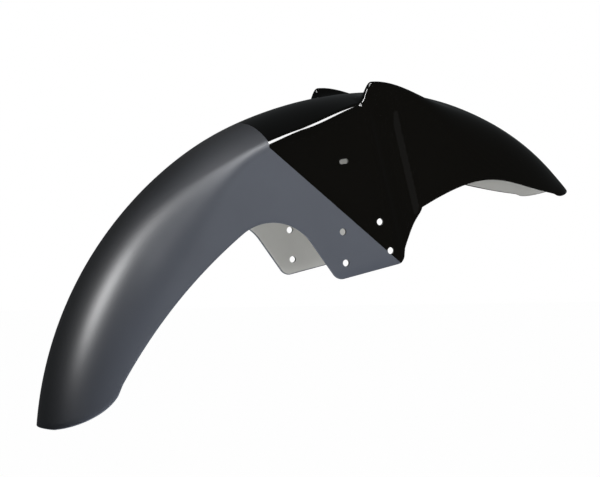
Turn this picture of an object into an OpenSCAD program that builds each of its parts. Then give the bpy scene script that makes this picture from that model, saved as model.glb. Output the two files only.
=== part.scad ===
// Front mudguard of a motorcycle, moulded in one piece: a thin shell, open
// below, that curls over the front wheel. Long round tail behind, boxy middle
// with a shoulder crease, two raised horns, and a tapering nose in front.
// A plate on each side reaches down and bolts to the inside of the fork legs.
//
// X points forward, Y across to the left side, Z up. The shape is worked out
// about the wheel axle: an angle starts at the rear horizon and grows over the
// top towards the front, and a depth is measured inwards from the crown.
// The finished part is moved so that its origin lies midway between the side
// plates, on the axis of the upper rear bolt holes.

/* [Shell] */
// Outside radius of the crown about the wheel axle
crown_r = 340; // [330:1:350]
// Width over the side plates
width = 150; // [140:1:160]
// Width across the corners of the nose
nose_width = 110; // [96:1:124]
// Wall thickness of the moulding
wall = 3; // [2.4:0.2:3.4]

/* [Ends] */
// Angle of the tail's lowest point
tail_angle = 4.4; // [3:0.1:6]
// Angle at which the tail's corner meets the side edge
tail_side_angle = 13.8; // [12:0.1:16]
// Angle of the nose tip
nose_angle = 127.3; // [126.6:0.1:130]
// Angle of the nose corners
nose_side_angle = 124; // [123:0.1:126]
// How much lower the front crown runs than the rear one, over the axle
front_dip = 3.8; // [2:0.1:6]
// Radius of the front crown, seen from the side
front_crown_r = 254; // [248:1:262]
// How far the centre of that curve lies behind the axle
front_centre_back = 5.1; // [2:0.1:8]

/* [Side edge] */
// Depth of the side edge at the tail
tail_depth = 51.6; // [48:0.2:55]
// Depth of the side edge where the arch in front of it begins
arch_depth = 77; // [72:1:82]
// Angle at which the arch begins
arch_angle = 50.7; // [49:0.1:52]
// Distance from the arch's start to the corner that it rounds
arch_reach = 49; // [46:0.5:54]
// Angle of the side plate's lower rear corner
plate_rear_angle = 65.3; // [64:0.1:66]
// Angle of the side plate's lower front corner
plate_front_angle = 87.2; // [86:0.1:88]
// Depth of the side plate's lower corners
plate_depth = 163.5; // [158:0.5:168]
// Corner radius at the rear of the side plate
plate_rear_r = 9.5; // [6:0.5:11]
// Corner radius at the front of the side plate
plate_front_r = 10; // [6:0.5:11]
// Hollow of the side plate's front edge
plate_front_bow = 0.8; // [0:0.1:3]
// Angle of the sharp corner where the plate meets the front edge
notch_angle = 92.5; // [91:0.1:93]
// Depth of that sharp corner
notch_depth = 112; // [108:0.5:117]
// Depth of the side edge at the nose corners
nose_depth = 49; // [46:0.5:52]

// Slope at which the front edge leaves the sharp corner
nose_rise = 30.2; // [28:0.2:33]
// How far that slope carries
nose_rise_reach = 86; // [80:1:93]
// Slope at which the front edge comes down to the nose corner
nose_fall = 7; // [5:0.2:9]
// How far that slope carries back
nose_fall_reach = 68; // [60:1:74]

/* [Section] */
// Drop of the tail's crown out to the side, before the corner is rounded
tail_drop = 36; // [32:1:40]
// Reach of the tail's round corner
tail_corner = 42; // [36:1:48]
// Drop of the middle's crown out to the shoulder crease
crease_drop = 21; // [17:0.5:25]
// Reach of the small round along the shoulder crease
crease_corner = 7; // [5:0.5:9]
// Drop of the nose's crown out to the side
nose_drop = 27; // [23:0.5:30]
// Reach of the nose's round corner
nose_corner = 34; // [28:1:38]

/* [Horns and fork channels] */
// Angle at the foot of the step behind the horns
horn_angle = 80.8; // [80:0.1:82]
// Angle over which the step rises
horn_step = 2.5; // [2:0.1:3]
// Drop of the shoulder at the foot of the step
horn_foot_drop = 10; // [8:0.5:13]
// Height that a horn adds over that shoulder
horn_lift = 27.2; // [23:0.2:28]
// How closely that height keeps to the shoulder
horn_power = 6.6; // [5:0.2:7]
// Reach of the small round along a horn's ridge
horn_corner = 6.1; // [6:0.1:8]
// Angle over which a horn fades into the nose
horn_fade = 25.5; // [22:0.5:28]
// Depth of the channel that clears each fork leg
channel_depth = 4.5; // [3:0.5:6]
// Width of the channel
channel_width = 32; // [28:1:34]
// Lean of the fork legs and of the bolt pattern, back from upright
fork_lean = 14; // [11:0.5:16]
// Distance of the channel's centre line in front of the axle
channel_x = 48; // [46:0.5:50]
// Depth below the crown at which the channel begins, under the horn
channel_top = 12; // [9:0.5:16]
// Length over which it reaches its full depth
channel_run = 14; // [8:0.5:20]

/* [Holes] */
// Diameter of the fork bolt holes
bolt_hole_d = 6.5; // [5.5:0.1:8.5]
// Distance between the upper pair of bolt holes
upper_pitch = 38; // [34:0.5:42]
// Distance between the lower pair of bolt holes
lower_pitch = 46; // [42:0.5:48]
// Distance between the two pairs
pair_gap = 28.7; // [25:0.1:31]
// Angle of the middle of the upper pair about the axle
bolt_angle = 76.4; // [75:0.1:78]
// Depth of the middle of the upper pair
bolt_depth = 124.8; // [121:0.2:128]
// Length of the drain slot in each side
slot_length = 9; // [6:0.5:12]
// Height of the drain slot
slot_height = 4.6; // [3:0.2:6]
// Tilt of the drain slot, front end up
slot_tilt = 8; // [0:1:20]
// Angle of the drain slot about the axle
slot_angle = 75.8; // [74:0.1:78]
// Depth of the drain slot
slot_depth = 61.8; // [56:0.2:68]

/* [Hidden] */
half_w = width / 2;
nose_half = nose_width / 2;

// Where each form starts and ends, as angles about the axle
round_end_angle = 36;
crease_start_angle = 61;
crease_rise_angle = 70;
front_start_angle = 58;
front_blend_angle = 107;
taper_start_angle = 97;
horn_top_angle = horn_angle + horn_step;
horn_end_angle = horn_top_angle + horn_fade;
tail_blend_angle = 31;

// Exponents of the tail's and the nose's rounded ends
tail_power = 2.05;
nose_power = 2;

// Lean of the front edge of the plates, and the way that it is hollowed
plate_front_lean = [0.2, 1];
plate_bow_way = [1, -0.3];

// Segments along the side edge
tail_n = 14;
arch_n = 9;
round_n = 4;
front_n = 4;
nose_n = 13;

// Segments across half a section: crown, corner and side
crown_n = 6;
corner_n = 5;
side_n = 5;
half_n = crown_n + corner_n + side_n;
across_n = 2 * half_n;
// The crown's points crowd towards the shoulders, where the horns rise
crowding = 1.6;
// Share of the way out to the edge at which the crown ends
crown_share = 0.23;

// A length beyond every side wall, for the cutters
reach = width + 40;
hole_fn = 48;

function mix(a, b, t) = a + (b - a) * t;
function clamp(t) = max(0, min(1, t));
function ease(t) = let (c = clamp(t)) c * c * (3 - 2 * c);
function ramp(a, from, to) = ease((a - from) / (to - from));
function at(a, r) = [-r * cos(a), r * sin(a)];
function angle_of(p) = atan2(p[1], -p[0]);
function cubic(p, t) = pow(1 - t, 3) * p[0] + 3 * t * pow(1 - t, 2) * p[1]
    + 3 * t * t * (1 - t) * p[2] + pow(t, 3) * p[3];

// Arc of radius r that rounds corner b between a and c
function corner_arc(a, b, c, r, n) =
    let (u = (a - b) / norm(a - b),
         v = (c - b) / norm(c - b),
         half = acos(u * v) / 2,
         mid = (u + v) / norm(u + v),
         centre = b + mid * r / sin(half),
         start = b + u * r / tan(half) - centre,
         end = b + v * r / tan(half) - centre,
         turn = 180 - 2 * half,
         hand = sign(start[0] * end[1] - start[1] * end[0]))
    [for (i = [0:n]) let (t = hand * turn * i / n)
        centre + [start[0] * cos(t) - start[1] * sin(t), start[0] * sin(t) + start[1] * cos(t)]];

// Side edge, seen from the side, as points about the axle
arch_start = at(arch_angle, crown_r - arch_depth);
plate_rear = at(plate_rear_angle, crown_r - plate_depth);
plate_front = at(plate_front_angle, crown_r - plate_depth);
notch = at(notch_angle, crown_r - notch_depth);
nose_end = at(nose_side_angle, crown_r - nose_depth);
// The arch leaves the tail's edge along its tangent, which meets the rear edge
// of the plate at arch_corner
arch_corner = arch_start + arch_reach * [sin(arch_angle), cos(arch_angle)];
arch_half = acos((arch_start - arch_corner) * (plate_rear - arch_corner)
    / arch_reach / norm(plate_rear - arch_corner)) / 2;
arch_r = arch_reach * tan(arch_half);
tail_edge = [for (i = [0:tail_n - 1])
    let (a = mix(tail_side_angle, arch_angle, i / tail_n),
         t = (arch_angle - a) / (arch_angle - tail_side_angle))
    at(a, crown_r - mix(arch_depth, tail_depth, t * t))];
front_edge = [for (i = [1:front_n]) let (t = i / front_n)
    mix(plate_front + plate_front_lean * plate_front_r, notch, t)
    - plate_front_bow * sin(180 * t) * plate_bow_way];
nose_handle = notch + nose_rise_reach * [cos(nose_rise), sin(nose_rise)];
nose_handle_end = nose_end + nose_fall_reach * [-cos(nose_fall), sin(nose_fall)];
nose_edge = [for (i = [1:nose_n])
    cubic([notch, nose_handle, nose_handle_end, nose_end], i / nose_n)];
rear_round = corner_arc(arch_corner, plate_rear, plate_front, plate_rear_r, round_n);
front_round = corner_arc(plate_rear, plate_front, notch, plate_front_r, round_n);
edge = concat(
    tail_edge,
    corner_arc(arch_start, arch_corner, plate_rear, arch_r, arch_n),
    rear_round,
    front_round,
    front_edge,
    nose_edge);
edge_table = [for (p = edge) [angle_of(p), norm(p)]];
plate_normal = [-(plate_front - plate_rear)[1], (plate_front - plate_rear)[0]];
function plate_foot(a) = plate_rear * plate_normal / ([-cos(a), sin(a)] * plate_normal);
function on_plate(a) = a > angle_of(rear_round[round_n]) && a < angle_of(front_round[0]);
function edge_r(a) = on_plate(a) ? plate_foot(a) : lookup(a, edge_table);

// Stations run along the edge's own points, with more of them over the horns
plate_from = tail_n + arch_n + 1 + round_n;
plate_to = plate_from + 1;
before_n = 5;
step_n = 7;
after_n = 3;
horn_stations = concat(
    [for (i = [1:before_n - 1]) mix(edge_table[plate_from][0], horn_angle, i / before_n)],
    [for (i = [0:step_n]) mix(horn_angle, horn_top_angle, i / step_n)],
    [for (i = [1:after_n - 1]) mix(horn_top_angle, edge_table[plate_to][0], i / after_n)]);
stations = concat(
    [for (i = [0:plate_from]) edge_table[i][0]],
    horn_stations,
    [for (i = [plate_to:len(edge) - 1]) edge_table[i][0]]);
last = len(stations) - 1;

// Crown radius: a circle about the axle behind, a tighter arc in front
front_centre = [-front_centre_back, crown_r - front_dip - front_crown_r];
function front_r(a) =
    let (u = [-cos(a), sin(a)], k = front_centre * u)
    k + sqrt(pow(front_crown_r, 2) - front_centre * front_centre + k * k);
function crown(a) = mix(crown_r, front_r(a), ramp(a, front_start_angle, front_blend_angle));

// Half width, before the fork channel is pressed in
function side_y(a) = mix(half_w, nose_half,
    pow(clamp((a - taper_start_angle) / (nose_side_angle - taper_start_angle)), 2));

// Drop of the crown curve at the side, without the horns
function rear_drop(a) = mix(tail_drop, crease_drop, ramp(a, round_end_angle, crease_start_angle));
function foot_drop(a) =
    mix(rear_drop(a), horn_foot_drop, ramp(a, crease_rise_angle, horn_top_angle));
function to_nose(a) = ramp(a, horn_top_angle, horn_end_angle);
function drop(a) = mix(foot_drop(a), nose_drop, to_nose(a));

// Height the horns add at the side: a short step up, then a long fade
function lift(a) = horn_lift * ramp(a, horn_angle, horn_top_angle) * (1 - to_nose(a));

// Reach of the rounded shoulder
function rear_corner(a) =
    mix(tail_corner, crease_corner, ramp(a, round_end_angle, crease_start_angle));
function foot_corner(a) =
    mix(rear_corner(a), horn_corner, ramp(a, crease_rise_angle, horn_top_angle));
function corner(a) = mix(foot_corner(a), nose_corner, to_nose(a));

// Fork channel: how deep it is at a point of the side
channel_dir = [-sin(fork_lean), cos(fork_lean)];
function channel(p) =
    let (u = p[0] * channel_dir[1] - p[1] * channel_dir[0] - channel_x,
         t = clamp(1 - pow(2 * u / channel_width, 2)))
    channel_depth * ease(t) * ramp(crown_r - norm(p), channel_top, channel_top + channel_run);

// Half a section in its radial plane, as [y, r], by index from crown to edge
function section(a, j) =
    let (w = side_y(a),
         top = crown(a),
         d = drop(a),
         up = lift(a),
         reach_in = corner(a),
         y0 = w - reach_in,
         r0 = top - d * pow(y0 / w, 2) + up * pow(y0 / w, horn_power),
         slope = atan(2 * d * y0 / (w * w) - horn_power * up * pow(y0 / w, horn_power - 1) / w),
         tangent = reach_in / cos(slope),
         low = r0 - reach_in * tan(slope) - tangent,
         r = tangent * tan((90 + slope) / 2),
         foot = edge_r(a),
         turn = 90 - slope,
         cut = foot > low ? asin(clamp((foot - low) / r)) : 0,
         arc = r * (turn - cut) * PI / 180,
         side = max(0, low - foot),
         share = (arc + side) * corner_n / (corner_n + side_n),
         split = min(arc, share),
         s = j <= crown_n ? 0
           : j <= crown_n + corner_n ? split * (j - crown_n) / corner_n
           : mix(split, arc + side, (j - crown_n - corner_n) / side_n),
         psi = turn - s / r * 180 / PI)
    j <= crown_n
    ? let (y = y0 * (1 - pow(1 - j / crown_n, crowding)))
        [y, top - d * pow(y / w, 2) + up * pow(y / w, horn_power)]
    : s <= arc
    ? [w - r + r * cos(psi), low + r * sin(psi)]
    : [w, low - (s - arc)];

// Share of the way out to the edge, for the rounded ends
function outward(j) = j <= crown_n ? crown_share * j / crown_n
    : mix(crown_share, 1, (j - crown_n) / (half_n - crown_n));
function rounded(t, power) = 1 - pow(1 - pow(t, power), 1 / power);

// Angle of point j of station i: the first stations bend round the tail's end
// and the last ones round the nose
function point_angle(i, j) =
    let (a = stations[i],
         tail = (tail_angle - tail_side_angle)
            * clamp((tail_blend_angle - a) / (tail_blend_angle - tail_side_angle)),
         nose = (nose_angle - nose_side_angle)
            * clamp((a - horn_end_angle) / (nose_side_angle - horn_end_angle)))
    a + tail * (1 - rounded(outward(j), tail_power))
      + nose * (1 - rounded(outward(j), nose_power));

// Point k across the outer face at an angle, from the near edge to the far one
function skin(a, k) =
    let (j = abs(k - half_n),
         p = section(a, j),
         xz = at(a, p[1]),
         pressed = p[0] * (1 - channel(xz) / side_y(a)))
    [xz[0], sign(k - half_n) * pressed, xz[1]];

// The inner face is the outer one moved in along its normal by the wall
angle_step = 0.2;
function normal(a, k) =
    let (u = skin(a + angle_step, k) - skin(a - angle_step, k),
         v = skin(a, min(k + 1, across_n)) - skin(a, max(k - 1, 0)),
         n = cross(u, v))
    n / norm(n);

function outer(i, k) = skin(point_angle(i, abs(k - half_n)), k);
outer_grid = [for (i = [0:last]) [for (k = [0:across_n]) outer(i, k)]];
inner_grid = [for (i = [0:last]) [for (k = [0:across_n])
    outer_grid[i][k] - wall * normal(point_angle(i, abs(k - half_n)), k)]];

columns = across_n + 1;
inner_first = columns * (last + 1);
function flat(grid) = [for (row = grid) for (p = row) p];
function at_outer(i, k) = i * columns + k;
function at_inner(i, k) = inner_first + i * columns + k;
function quad(a, b, c, d) = [[a, c, b], [a, d, c]];

shell_faces = concat(
    [for (i = [0:last - 1]) for (k = [0:across_n - 1]) each
        quad(at_outer(i, k), at_outer(i + 1, k), at_outer(i + 1, k + 1), at_outer(i, k + 1))],
    [for (i = [0:last - 1]) for (k = [0:across_n - 1]) each
        quad(at_inner(i, k), at_inner(i, k + 1), at_inner(i + 1, k + 1), at_inner(i + 1, k))],
    [for (i = [0:last - 1]) each
        quad(at_outer(i, 0), at_inner(i, 0), at_inner(i + 1, 0), at_outer(i + 1, 0))],
    [for (i = [0:last - 1]) each
        quad(at_outer(i, across_n), at_outer(i + 1, across_n),
            at_inner(i + 1, across_n), at_inner(i, across_n))],
    [for (k = [0:across_n - 1]) each
        quad(at_outer(0, k), at_outer(0, k + 1), at_inner(0, k + 1), at_inner(0, k))],
    [for (k = [0:across_n - 1]) each
        quad(at_outer(last, k), at_inner(last, k), at_inner(last, k + 1), at_outer(last, k + 1))]);

// Bolt holes: two pairs, parallel, leaning with the fork
along = [cos(fork_lean), sin(fork_lean)];
upper_middle = at(bolt_angle, crown_r - bolt_depth);
lower_middle = upper_middle - pair_gap * channel_dir;
bolt_holes = [
    upper_middle - along * upper_pitch / 2,
    upper_middle + along * upper_pitch / 2,
    lower_middle - along * lower_pitch / 2,
    lower_middle + along * lower_pitch / 2];
slot_place = at(slot_angle, crown_r - slot_depth);

// Something extruded along Z is laid along Y at a place in the side view
module across(place, tilt = 0) {
    translate([place[0], reach / 2, place[1]])
        rotate([90, 0, 0])
            rotate([0, 0, tilt])
                children();
}

module drain_slot() {
    middle = slot_length - slot_height;
    linear_extrude(reach) {
        square([middle, slot_height], center = true);
        for (end = [-1, 1])
            translate([end * middle / 2, 0])
                circle(d = slot_height, $fn = hole_fn);
    }
}

module mudguard() {
    color([0.16, 0.17, 0.19])
        translate([-bolt_holes[0][0], 0, -bolt_holes[0][1]])
            difference() {
                polyhedron(concat(flat(outer_grid), flat(inner_grid)), shell_faces);
                for (place = bolt_holes)
                    across(place)
                        cylinder(d = bolt_hole_d, h = reach, $fn = hole_fn);
                across(slot_place, slot_tilt)
                    drain_slot();
            }
}

mudguard();
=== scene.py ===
"""Front mudguard of a motorcycle: finish, light and camera.

The shell is built again at a fine pitch from the same rules as the construction:
sections in planes through the wheel axle, bounded by the side edge. The shell, its
paint and the camera are in millimetres about the wheel axle and become metres in
the frame's own place at the end. The lamps and the studio are in metres. Angles
start at the rear horizon and grow over the top to the front.
"""
import math

import bpy
import bmesh
import numpy as np
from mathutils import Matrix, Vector


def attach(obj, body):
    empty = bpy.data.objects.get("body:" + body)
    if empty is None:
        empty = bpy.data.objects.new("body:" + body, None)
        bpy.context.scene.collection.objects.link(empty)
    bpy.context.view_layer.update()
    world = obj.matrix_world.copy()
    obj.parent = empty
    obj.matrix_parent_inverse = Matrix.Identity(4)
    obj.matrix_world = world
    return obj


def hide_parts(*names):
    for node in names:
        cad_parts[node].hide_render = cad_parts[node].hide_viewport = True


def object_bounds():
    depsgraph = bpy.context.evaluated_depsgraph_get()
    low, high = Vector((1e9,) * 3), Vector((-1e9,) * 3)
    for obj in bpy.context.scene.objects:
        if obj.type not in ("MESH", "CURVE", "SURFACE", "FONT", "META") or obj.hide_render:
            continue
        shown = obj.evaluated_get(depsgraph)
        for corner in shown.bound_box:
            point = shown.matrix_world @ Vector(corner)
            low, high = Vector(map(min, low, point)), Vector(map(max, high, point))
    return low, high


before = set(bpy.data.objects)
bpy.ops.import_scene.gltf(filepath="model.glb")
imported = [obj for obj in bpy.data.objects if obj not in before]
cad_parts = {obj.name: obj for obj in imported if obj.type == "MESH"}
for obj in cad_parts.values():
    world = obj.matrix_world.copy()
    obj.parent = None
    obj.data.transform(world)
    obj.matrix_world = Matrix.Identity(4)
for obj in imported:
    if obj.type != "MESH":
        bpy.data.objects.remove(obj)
CAD_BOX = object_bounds()

MM = 0.001

# Shell
CROWN_R = 340.0
WIDTH = 150.0
NOSE_WIDTH = 110.0
WALL = 3.0

# Ends
TAIL_ANGLE = 4.4
TAIL_SIDE_ANGLE = 13.8
NOSE_ANGLE = 127.3
NOSE_SIDE_ANGLE = 124.0
FRONT_DIP = 3.8
FRONT_CROWN_R = 254.0
FRONT_CENTRE_X = -5.1

# Side edge
TAIL_DEPTH = 51.6
ARCH_DEPTH = 77.0
ARCH_ANGLE = 50.7
ARCH_REACH = 49.0
PLATE_REAR_ANGLE = 65.3
PLATE_FRONT_ANGLE = 87.2
PLATE_DEPTH = 163.5
PLATE_REAR_R = 9.5
PLATE_FRONT_R = 10.0
PLATE_FRONT_BOW = 0.8
PLATE_FRONT_BOW_WAY = (1.0, -0.3)
PLATE_FRONT_START = (0.2, 1.0)  # in radii of the front corner
NOTCH_ANGLE = 92.5
NOTCH_DEPTH = 112.0
NOSE_DEPTH = 49.0
NOSE_RISE = 30.2
NOSE_RISE_REACH = 86.0
NOSE_FALL = 7.0
NOSE_FALL_REACH = 68.0

# Section
TAIL_DROP = 36.0
TAIL_CORNER = 42.0
CREASE_DROP = 21.0
CREASE_CORNER = 7.0
NOSE_DROP = 27.0
NOSE_CORNER = 34.0

# Horns and fork channels
HORN_ANGLE = 80.8
HORN_STEP = 2.5
HORN_FOOT_DROP = 10.0
HORN_LIFT = 27.2
HORN_CORNER = 6.1
HORN_POWER = 6.6
HORN_FADE = 25.5
CHANNEL_DEPTH = 4.5
CHANNEL_WIDTH = 32.0
CHANNEL_X = 48.0
CHANNEL_TOP = 12.0
CHANNEL_RUN = 14.0
FORK_LEAN = 14.0

# Holes
BOLT_HOLE_D = 6.5
UPPER_PITCH = 38.0
LOWER_PITCH = 46.0
PAIR_GAP = 28.7
BOLT_ANGLE = 76.4
BOLT_DEPTH = 124.8
SLOT_LENGTH = 9.0
SLOT_HEIGHT = 4.6
SLOT_TILT = 8.0
SLOT_ANGLE = 75.8
SLOT_DEPTH = 61.8

# Angles where the forms start and end
ROUND_END_ANGLE = 36.0
CREASE_START_ANGLE = 61.0
CREASE_RISE_ANGLE = 70.0
FRONT_START_ANGLE = 58.0
FRONT_BLEND_ANGLE = 107.0
TAPER_START_ANGLE = 97.0
HORN_TOP_ANGLE = HORN_ANGLE + HORN_STEP
HORN_END_ANGLE = HORN_TOP_ANGLE + HORN_FADE
TAIL_BLEND_ANGLE = 31.0
TAIL_POWER = 2.05
NOSE_POWER = 2.0
CROWN_SHARE = 0.23
CROWN_CROWDING = 1.6

# Pitch of the fine shell
CROWN_N = 14
CORNER_N = 16
SIDE_N = 14
HALF_N = CROWN_N + CORNER_N + SIDE_N
RIM_N = 6
RIM_BULGE = 0.9
TAIL_EDGE_N = 60
ARCH_N = 40
ARCH_TO_PLATE_N = 12
PLATE_ROUND_N = 12
PLATE_FOOT_N = 90
PLATE_FRONT_N = 17
NOSE_EDGE_N = 61
NORMAL_STEP_ANGLE = 0.12
NORMAL_STEP_ACROSS = 0.5
SHARP_ANGLE = 38.0
HOLE_N = 64
SLOT_END_N = 24

# Materials of the shell, by index
PAINT_INDEX = 0
PRIMER_INDEX = 1
# the walls of the bolt holes take a near black that paints the shade in the holes
HOLE_SHADE_INDEX = 2

# Paint, where a noise is given by its scale per metre and its detail
PAINT_LINE_TOP = (-142.6, 283.1)
PAINT_LINE_FOOT = (-12.3, 176.2)
PAINT_CROWN_X = -147.0
PAINT_CROWN_LEAN = 0.083
PAINT_EDGE = 0.2
SATIN_DARK = (0.086, 0.097, 0.122, 1.0)
SATIN_LIGHT = (0.109, 0.123, 0.154, 1.0)
SATIN_ROUGHNESS = (0.36, 0.41)
FLAKE_COLOUR = (0.17, 0.18, 0.21, 1.0)
FLAKE_SHARE = 0.22
FLAKE_NOISE = (2600.0, 1.0)
DRY_ROUGHNESS = (0.47, 0.52)
DRY_SPRAY_X = (-235.0, -165.0)
GLOSS_BLACK = (0.0042, 0.0036, 0.0026, 1.0)
GLOSS_ROUGHNESS = (0.05, 0.09)
PAINT_CLOUD_NOISE = (14.0, 3.0)
PAINT_IOR = 1.5
PEEL_NOISE = (420.0, 2.0)
PEEL_STRENGTH = 0.06
PEEL_DEPTH = 0.05

# Inside of the shell
PRIMER_DARK = (0.60, 0.60, 0.58, 1.0)
PRIMER_LIGHT = (0.68, 0.68, 0.66, 1.0)
PRIMER_ROUGHNESS = (0.55, 0.72)
PRIMER_CLOUD_NOISE = (22.0, 4.0)
PRIMER_GRAIN_NOISE = (900.0, 2.0)
PRIMER_GRAIN_STRENGTH = 0.25
PRIMER_GRAIN_DEPTH = 0.1

# Walls of the bolt holes, near black: painted shade for the dark side of each hole
HOLE_SHADE_DARK = (0.014, 0.014, 0.015, 1.0)
HOLE_SHADE_LIGHT = (0.03, 0.03, 0.032, 1.0)
HOLE_SHADE_ROUGHNESS = 0.55
HOLE_SHADE_GRAIN_NOISE = (1500.0, 2.0)
HOLE_WALL_BAND = 0.1  # farthest that a wall's face lies from the hole's radius
HOLE_WALL_TURN = 0.3  # most that its normal has along Y

# Camera
CAMERA_AT = (-874.7, -2192.7, 234.8)
CAMERA_LOOK = (0.33903, 0.94065, -0.01604)
CAMERA_LENS = 147.0
CAMERA_SENSOR = 36.0
CAMERA_CLIP_END = 50.0

# Lamps: name, azimuth, elevation, distance and size in metres, power, and whether
# they light the paint itself instead of showing in its reflections
LAMPS = (
    ("strip_rear", 0, 27, 1.4, (0.2, 0.6), 16.5, False),
    ("softbox_over", 0, 62, 1.4, (0.35, 0.35), 3.6, False),
    ("softbox_mid", 30, 55, 1.4, (0.35, 0.35), 4.0, False),
    ("softbox_side", 56, 46, 1.4, (0.35, 0.35), 5.5, False),
    ("softbox_top", 65, 69, 1.4, (0.42, 0.42), 12.5, False),
    ("fill_side", 100, 12, 0.75, (0.5, 0.4), 3.3, True),
    ("fill_far", -90, -35, 0.75, (0.5, 0.3), 1.6, True),
    ("fill_low", 72, -25, 1.0, (0.5, 0.4), 0.6, True),
    ("bounce_card", 20, -60, 0.32, (0.3, 0.2), 0.9, True),
    ("card_low", 65, -12, 0.9, (0.42, 0.42), 0.06, False),
)

# Studio, with lengths in metres
WHITE = (1.0, 1.0, 1.0, 1.0)
WORLD_DIM = (0.95, 0.97, 1.0, 1.0)
WORLD_STRENGTH = 0.02
FLOOR_BELOW = 0.45
FLOOR_REACH = 12.0
FLOOR_GREY = (0.30, 0.30, 0.30, 1.0)
FLOOR_GLOW = 0.985
TENT_BELOW = 0.40
TENT_RADIUS = 3.4
TENT_SEGMENTS = 48
TENT_RINGS = 24
TENT_BLACK = (0.01, 0.01, 0.01, 1.0)
TENT_GLOW_COLOUR = (0.9, 0.97, 1.0, 1.0)
TENT_GLOW = 0.05

# Sockets of the mix node for factor, a, b and result, by kind of value
MIX_SOCKETS = {"FLOAT": (0, 2, 3, 0), "RGBA": (0, 6, 7, 2)}


def mix(a, b, t):
    """From a to b by t."""
    return a + (b - a) * t


def clamp(t):
    return np.clip(t, 0.0, 1.0)


def ramp(a, start, end):
    """Smooth step from 0 at start to 1 at end."""
    t = clamp((a - start) / (end - start))
    return t * t * (3 - 2 * t)


def at(angle, radius):
    """Point in the side view by angle and radius about the axle."""
    a = math.radians(angle)
    return np.array([-radius * math.cos(a), radius * math.sin(a)])


def angles_of(points):
    return np.degrees(np.arctan2(points[:, 1], -points[:, 0]))


def corner_arc(a, b, c, radius, count):
    """Arc that rounds the corner b between a and c."""
    u = (a - b) / np.linalg.norm(a - b)
    v = (c - b) / np.linalg.norm(c - b)
    half = math.acos(float(u @ v)) / 2
    middle = (u + v) / np.linalg.norm(u + v)
    centre = b + middle * radius / math.sin(half)
    start = b + u * radius / math.tan(half) - centre
    end = b + v * radius / math.tan(half) - centre
    turn = math.copysign(math.pi - 2 * half, start[0] * end[1] - start[1] * end[0])
    angles = np.linspace(0, turn, count + 1)
    cos, sin = np.cos(angles), np.sin(angles)
    return centre + np.stack([start[0] * cos - start[1] * sin,
                              start[0] * sin + start[1] * cos], 1)


def straight(a, b, count):
    """Points between a and b, without the ends."""
    t = np.linspace(0, 1, count + 2)[1:-1, None]
    return a + (b - a) * t


def bezier(p0, p1, p2, p3, t):
    s = 1 - t
    return s ** 3 * p0 + 3 * s * s * t * p1 + 3 * s * t * t * p2 + t ** 3 * p3


def side_edge():
    """The side edge as points seen from the side, from the tail to the nose."""
    arch_start = at(ARCH_ANGLE, CROWN_R - ARCH_DEPTH)
    plate_rear = at(PLATE_REAR_ANGLE, CROWN_R - PLATE_DEPTH)
    plate_front = at(PLATE_FRONT_ANGLE, CROWN_R - PLATE_DEPTH)
    notch = at(NOTCH_ANGLE, CROWN_R - NOTCH_DEPTH)
    nose_end = at(NOSE_SIDE_ANGLE, CROWN_R - NOSE_DEPTH)
    lean = math.radians(ARCH_ANGLE)
    arch_corner = arch_start + ARCH_REACH * np.array([math.sin(lean), math.cos(lean)])
    u, v = arch_start - arch_corner, plate_rear - arch_corner
    half = math.acos(float(u @ v) / np.linalg.norm(u) / np.linalg.norm(v)) / 2
    tail = []
    for angle in np.linspace(TAIL_SIDE_ANGLE, ARCH_ANGLE, TAIL_EDGE_N)[:-1]:
        t = (ARCH_ANGLE - angle) / (ARCH_ANGLE - TAIL_SIDE_ANGLE)
        tail.append(at(angle, CROWN_R - mix(ARCH_DEPTH, TAIL_DEPTH, t * t)))
    arch_radius = ARCH_REACH * math.tan(half)
    arch = corner_arc(arch_start, arch_corner, plate_rear, arch_radius, ARCH_N)
    rear_round = corner_arc(arch_corner, plate_rear, plate_front, PLATE_REAR_R, PLATE_ROUND_N)
    front_round = corner_arc(plate_rear, plate_front, notch, PLATE_FRONT_R, PLATE_ROUND_N)
    low = plate_front + np.array(PLATE_FRONT_START) * PLATE_FRONT_R
    front = []
    for t in np.linspace(0, 1, PLATE_FRONT_N)[1:]:
        bow = PLATE_FRONT_BOW * math.sin(math.pi * t) * np.array(PLATE_FRONT_BOW_WAY)
        front.append(mix(low, notch, t) - bow)
    rise, fall = math.radians(NOSE_RISE), math.radians(NOSE_FALL)
    p1 = notch + NOSE_RISE_REACH * np.array([math.cos(rise), math.sin(rise)])
    p2 = nose_end + NOSE_FALL_REACH * np.array([-math.cos(fall), math.sin(fall)])
    nose = [bezier(notch, p1, p2, nose_end, t) for t in np.linspace(0, 1, NOSE_EDGE_N)[1:]]
    return np.vstack([
        tail, arch, straight(arch[-1], rear_round[0], ARCH_TO_PLATE_N), rear_round,
        straight(rear_round[-1], front_round[0], PLATE_FOOT_N), front_round, front, nose])


EDGE = side_edge()
EDGE_ANGLES = angles_of(EDGE)
EDGE_RADII = np.linalg.norm(EDGE, axis=1)


def crown(a):
    """Crown radius: a circle behind, a tighter arc in front."""
    centre = np.array([FRONT_CENTRE_X, CROWN_R - FRONT_DIP - FRONT_CROWN_R])
    r = np.radians(a)
    k = -centre[0] * np.cos(r) + centre[1] * np.sin(r)
    front = k + np.sqrt(FRONT_CROWN_R ** 2 - centre @ centre + k * k)
    return mix(CROWN_R, front, ramp(a, FRONT_START_ANGLE, FRONT_BLEND_ANGLE))


def side_y(a):
    """Half the width over the sides: parallel behind, tapering to the nose."""
    t = clamp((a - TAPER_START_ANGLE) / (NOSE_SIDE_ANGLE - TAPER_START_ANGLE))
    return mix(WIDTH / 2, NOSE_WIDTH / 2, t * t)


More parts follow.
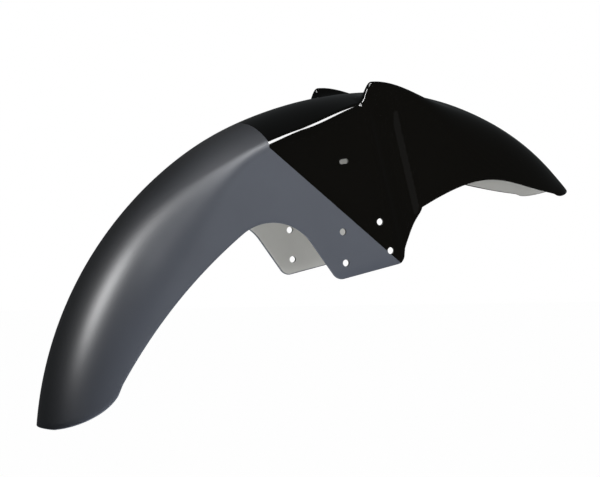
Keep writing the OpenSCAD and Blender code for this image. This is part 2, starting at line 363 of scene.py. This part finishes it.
def drop(a):
    """Drop of the crown curve at the side."""
    rear = mix(mix(TAIL_DROP, CREASE_DROP, ramp(a, ROUND_END_ANGLE, CREASE_START_ANGLE)),
               HORN_FOOT_DROP, ramp(a, CREASE_RISE_ANGLE, HORN_TOP_ANGLE))
    return mix(rear, NOSE_DROP, ramp(a, HORN_TOP_ANGLE, HORN_END_ANGLE))


def lift(a):
    """Height the horns add at the side: a short step up, then a long fade."""
    fade = 1 - ramp(a, HORN_TOP_ANGLE, HORN_END_ANGLE)
    return HORN_LIFT * ramp(a, HORN_ANGLE, HORN_TOP_ANGLE) * fade


def corner(a):
    """How far the rounded corner reaches in from the side."""
    rear = mix(TAIL_CORNER, CREASE_CORNER, ramp(a, ROUND_END_ANGLE, CREASE_START_ANGLE))
    rear = mix(rear, HORN_CORNER, ramp(a, CREASE_RISE_ANGLE, HORN_TOP_ANGLE))
    return mix(rear, NOSE_CORNER, ramp(a, HORN_TOP_ANGLE, HORN_END_ANGLE))


def channel(x, z):
    """Depth of the fork channel at a point of the side."""
    lean = math.radians(FORK_LEAN)
    u = x * math.cos(lean) + z * math.sin(lean) - CHANNEL_X
    t = clamp(1 - (2 * u / CHANNEL_WIDTH) ** 2)
    deep = ramp(CROWN_R - np.hypot(x, z), CHANNEL_TOP, CHANNEL_TOP + CHANNEL_RUN)
    return CHANNEL_DEPTH * ramp(t, 0.0, 1.0) * deep


def section(a, j):
    """Half a section as y and radius, by index from the crown to the edge."""
    w, top, d, up, reach = side_y(a), crown(a), drop(a), lift(a), corner(a)
    y0 = w - reach
    r0 = top - d * (y0 / w) ** 2 + up * (y0 / w) ** HORN_POWER
    slope = np.arctan(2 * d * y0 / (w * w) - HORN_POWER * up * (y0 / w) ** (HORN_POWER - 1) / w)
    tangent = reach / np.cos(slope)
    low = r0 - reach * np.tan(slope) - tangent
    r = tangent * np.tan((math.pi / 2 + slope) / 2)
    foot = np.interp(a, EDGE_ANGLES, EDGE_RADII)
    turn = math.pi / 2 - slope
    cut = np.where(foot > low, np.arcsin(clamp((foot - low) / r)), 0.0)
    arc = r * (turn - cut)
    side = np.maximum(0.0, low - foot)
    split = np.minimum(arc, (arc + side) * CORNER_N / (CORNER_N + SIDE_N))
    in_corner = split * (j - CROWN_N) / CORNER_N
    on_side = mix(split, arc + side, (j - CROWN_N - CORNER_N) / SIDE_N)
    s = np.where(j <= CROWN_N + CORNER_N, in_corner, on_side)
    psi = turn - s / r
    y_crown = y0 * (1 - np.clip(1 - j / CROWN_N, 0, 1) ** CROWN_CROWDING)
    on_crown = j <= CROWN_N
    on_arc = s <= arc
    y = np.where(on_crown, y_crown, np.where(on_arc, w - r + r * np.cos(psi), w))
    radius = np.where(on_crown, top - d * (y_crown / w) ** 2 + up * (y_crown / w) ** HORN_POWER,
                      np.where(on_arc, low + r * np.sin(psi), low - (s - arc)))
    return y, radius


def skin(a, k):
    """Points of the outer face for arrays of angles and indices across."""
    y, radius = section(a, np.abs(k - HALF_N))
    rad = np.radians(a)
    x, z = -radius * np.cos(rad), radius * np.sin(rad)
    y = y * (1 - channel(x, z) / side_y(a))
    return np.stack([x, np.sign(k - HALF_N) * y, z], -1)


def rounded(t, power):
    """Outline of a superellipse, from 0 at the middle to 1 at the side."""
    return 1 - (1 - t ** power) ** (1 / power)


def shell_grids():
    """Outer and inner face as two grids of points, stations by columns."""
    stations = EDGE_ANGLES[:, None]
    k = np.arange(2 * HALF_N + 1)[None, :].astype(float)
    j = np.abs(k - HALF_N)
    out = np.where(j <= CROWN_N, CROWN_SHARE * j / CROWN_N,
                   mix(CROWN_SHARE, 1.0, (j - CROWN_N) / (HALF_N - CROWN_N)))
    tail = (TAIL_ANGLE - TAIL_SIDE_ANGLE) * clamp(
        (TAIL_BLEND_ANGLE - stations) / (TAIL_BLEND_ANGLE - TAIL_SIDE_ANGLE))
    nose = (NOSE_ANGLE - NOSE_SIDE_ANGLE) * clamp(
        (stations - HORN_END_ANGLE) / (NOSE_SIDE_ANGLE - HORN_END_ANGLE))
    a = stations + tail * (1 - rounded(out, TAIL_POWER)) + nose * (1 - rounded(out, NOSE_POWER))
    k = np.broadcast_to(k, a.shape)
    outer = skin(a, k)
    u = skin(a + NORMAL_STEP_ANGLE, k) - skin(a - NORMAL_STEP_ANGLE, k)
    v = (skin(a, np.minimum(k + NORMAL_STEP_ACROSS, 2 * HALF_N))
         - skin(a, np.maximum(k - NORMAL_STEP_ACROSS, 0)))
    normal = np.cross(u, v)
    normal /= np.linalg.norm(normal, axis=-1, keepdims=True)
    return outer, outer - WALL * normal


def border(rows, columns):
    """Grid places of the shell's border, once round."""
    loop = [(0, k) for k in range(columns - 1)]
    loop += [(i, columns - 1) for i in range(rows - 1)]
    loop += [(rows - 1, k) for k in range(columns - 1, 0, -1)]
    loop += [(i, 0) for i in range(rows - 1, 0, -1)]
    return loop


def bolt_places():
    """Upper rear, upper front, lower rear and lower front bolt hole."""
    lean = math.radians(FORK_LEAN)
    along = np.array([math.cos(lean), math.sin(lean)])
    down = np.array([math.sin(lean), -math.cos(lean)])
    upper = at(BOLT_ANGLE, CROWN_R - BOLT_DEPTH)
    lower = upper + PAIR_GAP * down
    return [upper - along * UPPER_PITCH / 2, upper + along * UPPER_PITCH / 2,
            lower - along * LOWER_PITCH / 2, lower + along * LOWER_PITCH / 2]


BOLTS = bolt_places()
ORIGIN = np.array([BOLTS[0][0], 0.0, BOLTS[0][1]])


def to_frame(points):
    """Millimetres about the axle to metres in the frame."""
    return (np.asarray(points, float) - ORIGIN) * MM


def rim_directions(outer, out, inn, loop):
    """Unit directions out of the shell, along its faces, at each border point."""
    rows, columns = outer.shape[:2]
    tangent = np.roll(out, -1, 0) - np.roll(out, 1, 0)
    away = np.cross(tangent, out - inn)
    away /= np.linalg.norm(away, axis=1, keepdims=True)
    step_in = [(min(max(i, 1), rows - 2), min(max(k, 1), columns - 2)) for i, k in loop]
    inward = np.array([outer[i, k] for i, k in step_in]) - out
    return away * -math.copysign(1.0, float((away * inward).sum()))


def shell_mesh():
    """The closed shell: outer face, inner face and a bulging rim between them."""
    outer, inner = shell_grids()
    rows, columns = outer.shape[:2]
    count = rows * columns
    points = [outer.reshape(-1, 3), inner.reshape(-1, 3)]
    faces, slots = [], []

    def add(face, slot):
        faces.append(face)
        slots.append(slot)

    for i in range(rows - 1):
        for k in range(columns - 1):
            a, b = i * columns + k, (i + 1) * columns + k
            add((a, b, b + 1, a + 1), PAINT_INDEX)
            add((count + a, count + a + 1, count + b + 1, count + b), PRIMER_INDEX)

    loop = border(rows, columns)
    ring = [i * columns + k for i, k in loop]
    out, inn = points[0][ring], points[1][ring]
    away = rim_directions(outer, out, inn, loop)
    centre = (out + inn) / 2
    rings = [ring]
    for n in range(1, RIM_N):
        phi = math.pi * n / RIM_N
        start = 2 * count + (n - 1) * len(ring)
        bulge = RIM_BULGE * math.sin(phi)
        points.append(centre + (out - centre) * math.cos(phi) + away * bulge)
        rings.append(list(range(start, start + len(ring))))
    rings.append([count + v for v in ring])
    for near, far in zip(rings, rings[1:]):
        for m in range(len(ring)):
            q = (m + 1) % len(ring)
            add((near[m], near[q], far[q], far[m]), PAINT_INDEX)

    mesh = bpy.data.meshes.new("shell")
    mesh.from_pydata(to_frame(np.vstack(points)).tolist(), [], faces)
    mesh.polygons.foreach_set("material_index", slots)
    mesh.validate()
    work = bmesh.new()
    work.from_mesh(mesh)
    bmesh.ops.recalc_face_normals(work, faces=work.faces)
    work.to_mesh(mesh)
    work.free()
    return mesh


def prism_mesh(outlines, half_length):
    """Closed prisms along Y through outlines in the side view."""
    work = bmesh.new()
    for outline in outlines:
        near = [work.verts.new(to_frame((x, -half_length, z))) for x, z in outline]
        far = [work.verts.new(to_frame((x, half_length, z))) for x, z in outline]
        work.faces.new(near)
        work.faces.new(far[::-1])
        for n in range(len(outline)):
            m = (n + 1) % len(outline)
            work.faces.new((near[n], far[n], far[m], near[m]))
    bmesh.ops.recalc_face_normals(work, faces=work.faces)
    mesh = bpy.data.meshes.new("cutters")
    work.to_mesh(mesh)
    work.free()
    return mesh


def circle(centre, radius, count=HOLE_N):
    t = np.linspace(0, 2 * math.pi, count, endpoint=False)
    return [(centre[0] + radius * math.cos(v), centre[1] + radius * math.sin(v)) for v in t]


def stadium(centre, length, height, tilt, count=SLOT_END_N):
    """Outline of a slot with round ends, turned by tilt."""
    straight_half = (length - height) / 2
    c, s = math.cos(math.radians(tilt)), math.sin(math.radians(tilt))
    points = []
    for side, start in ((1, -math.pi / 2), (-1, math.pi / 2)):
        for v in np.linspace(start, start + math.pi, count):
            x = side * straight_half + height / 2 * math.cos(v)
            z = height / 2 * math.sin(v)
            points.append((centre[0] + x * c - z * s, centre[1] + x * s + z * c))
    return points


def linked(data, name):
    """A new object in the scene around a mesh, a lamp or a camera."""
    obj = bpy.data.objects.new(name, data)
    bpy.context.scene.collection.objects.link(obj)
    return obj


def node(tree, kind, values):
    """A new node with plain values on its inputs, by socket name."""
    made = tree.nodes.new(kind)
    for name, value in values.items():
        made.inputs[name].default_value = value
    return made


def feed(tree, socket, value):
    """Link another node's output to a socket, or set a plain value on it."""
    if isinstance(value, bpy.types.NodeSocket):
        tree.links.new(value, socket)
    else:
        socket.default_value = value


def math_node(tree, operation, a, b=None):
    made = tree.nodes.new("ShaderNodeMath")
    made.operation = operation
    for socket, value in zip(made.inputs, (a, b)):
        if value is not None:
            feed(tree, socket, value)
    return made.outputs[0]


def blend(tree, kind, factor, a, b):
    """From a to b by factor, as numbers or as colours."""
    made = tree.nodes.new("ShaderNodeMix")
    made.data_type = kind
    *places, result = MIX_SOCKETS[kind]
    for place, value in zip(places, (factor, a, b)):
        feed(tree, made.inputs[place], value)
    return made.outputs[result]


def map_range(tree, value, start=(0.0, 1.0), end=(0.0, 1.0), curve="LINEAR"):
    """The value's range from start to end, clamped."""
    made = node(tree, "ShaderNodeMapRange", {"From Min": start[0], "From Max": start[1],
                                             "To Min": end[0], "To Max": end[1]})
    made.interpolation_type = curve
    tree.links.new(value, made.inputs["Value"])
    return made.outputs["Result"]


def noise(tree, where, scale, detail):
    made = node(tree, "ShaderNodeTexNoise", {"Scale": scale, "Detail": detail})
    tree.links.new(where, made.inputs["Vector"])
    return made.outputs["Fac"]


def roughen(tree, shader, height, strength, distance):
    """A fine bump of the surface by a height from 0 to 1."""
    bump = node(tree, "ShaderNodeBump", {"Strength": strength, "Distance": distance * MM})
    tree.links.new(height, bump.inputs["Height"])
    tree.links.new(bump.outputs[0], shader.inputs["Normal"])


def new_material(name):
    """A material with its node tree, its shader and the place on the object."""
    material = bpy.data.materials.new(name)
    material.use_nodes = True
    tree = material.node_tree
    where = tree.nodes.new("ShaderNodeTexCoord").outputs["Object"]
    return material, tree, tree.nodes["Principled BSDF"], where


def gloss_share(tree, x, y, z):
    """0 on the satin paint behind the colour line, 1 on the gloss in front of it.

    On the sides the line is straight. Over the crown it runs across, a little
    further forward towards the sides.
    """
    top = to_frame((PAINT_LINE_TOP[0], 0, PAINT_LINE_TOP[1]))
    foot = to_frame((PAINT_LINE_FOOT[0], 0, PAINT_LINE_FOOT[1]))
    across = np.array([top[2] - foot[2], foot[0] - top[0]])
    across = across / np.linalg.norm(across)
    offset = float(across[0] * top[0] + across[1] * top[2])
    side = math_node(tree, "ADD", math_node(tree, "MULTIPLY", x, float(across[0])),
                     math_node(tree, "MULTIPLY", z, float(across[1])))
    side = math_node(tree, "SUBTRACT", side, offset)
    crown_x = float(to_frame((PAINT_CROWN_X, 0, 0))[0])
    lean = math_node(tree, "MULTIPLY", math_node(tree, "ABSOLUTE", y), PAINT_CROWN_LEAN)
    over = math_node(tree, "SUBTRACT", math_node(tree, "SUBTRACT", x, lean), crown_x)
    nearest = math_node(tree, "MINIMUM", side, over)
    return map_range(tree, nearest, (-PAINT_EDGE * MM, PAINT_EDGE * MM))


def paint_material():
    """Satin graphite behind a straight line, gloss black in front of it."""
    material, tree, shader, where = new_material("two_tone_paint")
    split = tree.nodes.new("ShaderNodeSeparateXYZ")
    tree.links.new(where, split.inputs[0])
    x, y, z = split.outputs
    gloss = gloss_share(tree, x, y, z)
    flake = noise(tree, where, *FLAKE_NOISE)
    cloud = noise(tree, where, *PAINT_CLOUD_NOISE)
    satin = blend(tree, "RGBA", cloud, SATIN_DARK, SATIN_LIGHT)
    satin = blend(tree, "RGBA", map_range(tree, flake, end=(0.0, FLAKE_SHARE)), satin, FLAKE_COLOUR)
    tree.links.new(blend(tree, "RGBA", gloss, satin, GLOSS_BLACK), shader.inputs["Base Color"])
    dry_x = [float(to_frame((place, 0, 0))[0]) for place in DRY_SPRAY_X]
    satin_roughness = blend(tree, "FLOAT", map_range(tree, x, dry_x, curve="SMOOTHSTEP"),
                            map_range(tree, flake, end=SATIN_ROUGHNESS),
                            map_range(tree, flake, end=DRY_ROUGHNESS))
    roughness = blend(tree, "FLOAT", gloss, satin_roughness,
                      map_range(tree, cloud, end=GLOSS_ROUGHNESS))
    tree.links.new(roughness, shader.inputs["Roughness"])
    shader.inputs["IOR"].default_value = PAINT_IOR
    roughen(tree, shader, noise(tree, where, *PEEL_NOISE), PEEL_STRENGTH, PEEL_DEPTH)
    return material


def primer_material():
    """Pale grey, slightly uneven inside of the moulding."""
    material, tree, shader, where = new_material("grey_inside")
    cloud = noise(tree, where, *PRIMER_CLOUD_NOISE)
    grain = noise(tree, where, *PRIMER_GRAIN_NOISE)
    colour = blend(tree, "RGBA", cloud, PRIMER_DARK, PRIMER_LIGHT)
    tree.links.new(colour, shader.inputs["Base Color"])
    roughness = map_range(tree, grain, end=PRIMER_ROUGHNESS)
    tree.links.new(roughness, shader.inputs["Roughness"])
    roughen(tree, shader, grain, PRIMER_GRAIN_STRENGTH, PRIMER_GRAIN_DEPTH)
    return material


def hole_shade_material():
    """Near black for the walls of the bolt holes, painted shade for the dark side of each hole."""
    material, tree, shader, where = new_material("painted_hole_shade")
    grain = noise(tree, where, *HOLE_SHADE_GRAIN_NOISE)
    colour = blend(tree, "RGBA", grain, HOLE_SHADE_DARK, HOLE_SHADE_LIGHT)
    tree.links.new(colour, shader.inputs["Base Color"])
    shader.inputs["Roughness"].default_value = HOLE_SHADE_ROUGHNESS
    return material


def cut_holes(shell):
    """Cut the bolt holes and the slots out of the shell's mesh."""
    outlines = [circle(place, BOLT_HOLE_D / 2) for place in BOLTS]
    slot_place = at(SLOT_ANGLE, CROWN_R - SLOT_DEPTH)
    outlines.append(stadium(slot_place, SLOT_LENGTH, SLOT_HEIGHT, SLOT_TILT))
    cutter = linked(prism_mesh(outlines, WIDTH), "cutter")
    cut = shell.modifiers.new("holes", "BOOLEAN")
    cut.operation = "DIFFERENCE"
    cut.solver = "EXACT"
    cut.object = cutter
    graph = bpy.context.evaluated_depsgraph_get()
    done = bpy.data.meshes.new_from_object(shell.evaluated_get(graph))
    shell.modifiers.clear()
    shell.data = done
    bpy.data.objects.remove(cutter)


def shade_hole_walls(mesh):
    """Give the walls of the bolt holes, not the faces around them, the painted shade."""
    mesh.materials.append(hole_shade_material())
    for polygon in mesh.polygons:
        place = np.array([polygon.center.x, polygon.center.z]) / MM + [ORIGIN[0], ORIGIN[2]]
        off = min(np.linalg.norm(place - bolt) for bolt in BOLTS) - BOLT_HOLE_D / 2
        if abs(off) < HOLE_WALL_BAND and abs(polygon.normal.y) < HOLE_WALL_TURN:
            polygon.material_index = HOLE_SHADE_INDEX


def build_shell():
    shell = linked(shell_mesh(), "mudguard_shell")
    shell.data.materials.append(paint_material())
    shell.data.materials.append(primer_material())
    cut_holes(shell)
    shade_hole_walls(shell.data)
    shell.data.polygons.foreach_set("use_smooth", [True] * len(shell.data.polygons))
    shell.data.set_sharp_from_angle(angle=math.radians(SHARP_ANGLE))
    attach(shell, "root")
    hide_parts("mudguard")


def add_camera():
    data = bpy.data.cameras.new("camera")
    data.sensor_width = CAMERA_SENSOR
    data.lens = CAMERA_LENS
    data.clip_end = CAMERA_CLIP_END
    camera = linked(data, "camera")
    camera.location = to_frame(CAMERA_AT).tolist()
    camera.rotation_euler = Vector(CAMERA_LOOK).to_track_quat("-Z", "Y").to_euler()
    bpy.context.scene.camera = camera


def area_light(name, azimuth, elevation, distance, size, energy, diffuse):
    """A rectangular lamp that looks at the middle of the part.

    Azimuth runs from the rear to the camera's side. A lamp lights either the
    paint itself or its reflections, as a shaded or a bare lamp would.
    """
    data = bpy.data.lights.new(name, "AREA")
    data.shape = "RECTANGLE"
    data.size, data.size_y = size
    data.energy = energy
    lamp = linked(data, name)
    low, high = CAD_BOX
    middle = Vector(((low[0] + high[0]) / 2, 0.0, (low[2] + high[2]) / 2))
    turn, rise = math.radians(azimuth), math.radians(elevation)
    out = Vector((-math.cos(rise) * math.cos(turn), -math.cos(rise) * math.sin(turn),
                  math.sin(rise)))
    lamp.location = middle + out * distance
    lamp.rotation_euler = (-out).to_track_quat("-Z", "Y").to_euler()
    lamp.visible_diffuse = diffuse
    lamp.visible_glossy = not diffuse
    lamp.visible_camera = False


def add_lights():
    for lamp in LAMPS:
        area_light(*lamp)


def direct_ray(tree):
    """1 for camera, glossy and transmission rays, 0 for the rays that spread light."""
    path = tree.nodes.new("ShaderNodeLightPath")
    seen = math_node(tree, "MAXIMUM", path.outputs["Is Camera Ray"], path.outputs["Is Glossy Ray"])
    return math_node(tree, "MAXIMUM", seen, path.outputs["Is Transmission Ray"])


def two_faced(tree, spread_light, shown, output):
    """Output one shader to the rays that spread light and another to direct rays."""
    mixer = tree.nodes.new("ShaderNodeMixShader")
    out = tree.nodes.new(output)
    tree.links.new(direct_ray(tree), mixer.inputs[0])
    tree.links.new(spread_light.outputs[0], mixer.inputs[1])
    tree.links.new(shown.outputs[0], mixer.inputs[2])
    tree.links.new(mixer.outputs[0], out.inputs[0])


def add_world():
    """White behind the part, but nearly no light from it."""
    world = bpy.data.worlds.new("studio")
    bpy.context.scene.world = world
    world.use_nodes = True
    tree = world.node_tree
    tree.nodes.clear()
    white = node(tree, "ShaderNodeBackground", {"Color": WHITE, "Strength": 1.0})
    dim = node(tree, "ShaderNodeBackground", {"Color": WORLD_DIM, "Strength": WORLD_STRENGTH})
    two_faced(tree, dim, white, "ShaderNodeOutputWorld")


def add_floor():
    """A grey matt floor that glows white to the camera and keeps the shadow."""
    low = CAD_BOX[0][2] - FLOOR_BELOW
    corners = [(-FLOOR_REACH, -FLOOR_REACH, low), (FLOOR_REACH, -FLOOR_REACH, low),
               (FLOOR_REACH, FLOOR_REACH, low), (-FLOOR_REACH, FLOOR_REACH, low)]
    mesh = bpy.data.meshes.new("floor")
    mesh.from_pydata(corners, [], [(0, 1, 2, 3)])
    floor = linked(mesh, "floor")
    material = bpy.data.materials.new("pale_floor")
    material.use_nodes = True
    tree = material.node_tree
    tree.nodes.clear()
    matt = node(tree, "ShaderNodeBsdfDiffuse", {"Color": FLOOR_GREY})
    glow = node(tree, "ShaderNodeEmission", {"Color": WHITE, "Strength": FLOOR_GLOW})
    both = tree.nodes.new("ShaderNodeAddShader")
    tree.links.new(matt.outputs[0], both.inputs[0])
    tree.links.new(glow.outputs[0], both.inputs[1])
    two_faced(tree, matt, both, "ShaderNodeOutputMaterial")
    mesh.materials.append(material)


def add_tent():
    """A dark tent around the part and over the floor that only reflections see."""
    work = bmesh.new()
    bmesh.ops.create_uvsphere(work, u_segments=TENT_SEGMENTS, v_segments=TENT_RINGS,
                              radius=TENT_RADIUS)
    low = CAD_BOX[0][2] - TENT_BELOW
    for vert in work.verts:
        vert.co.z = max(vert.co.z, low)
    mesh = bpy.data.meshes.new("tent")
    work.to_mesh(mesh)
    work.free()
    tent = linked(mesh, "dark_tent")
    material = bpy.data.materials.new("black_cloth")
    material.use_nodes = True
    shader = material.node_tree.nodes["Principled BSDF"]
    shader.inputs["Base Color"].default_value = TENT_BLACK
    shader.inputs["Roughness"].default_value = 1.0
    shader.inputs["Specular IOR Level"].default_value = 0.0
    shader.inputs["Emission Color"].default_value = TENT_GLOW_COLOUR
    shader.inputs["Emission Strength"].default_value = TENT_GLOW
    mesh.materials.append(material)
    tent.visible_camera = False
    tent.visible_diffuse = False
    tent.visible_shadow = False
    tent.visible_transmission = False


build_shell()
add_camera()
add_lights()
add_world()
add_floor()
add_tent()
bpy.context.scene.view_settings.view_transform = "Standard"
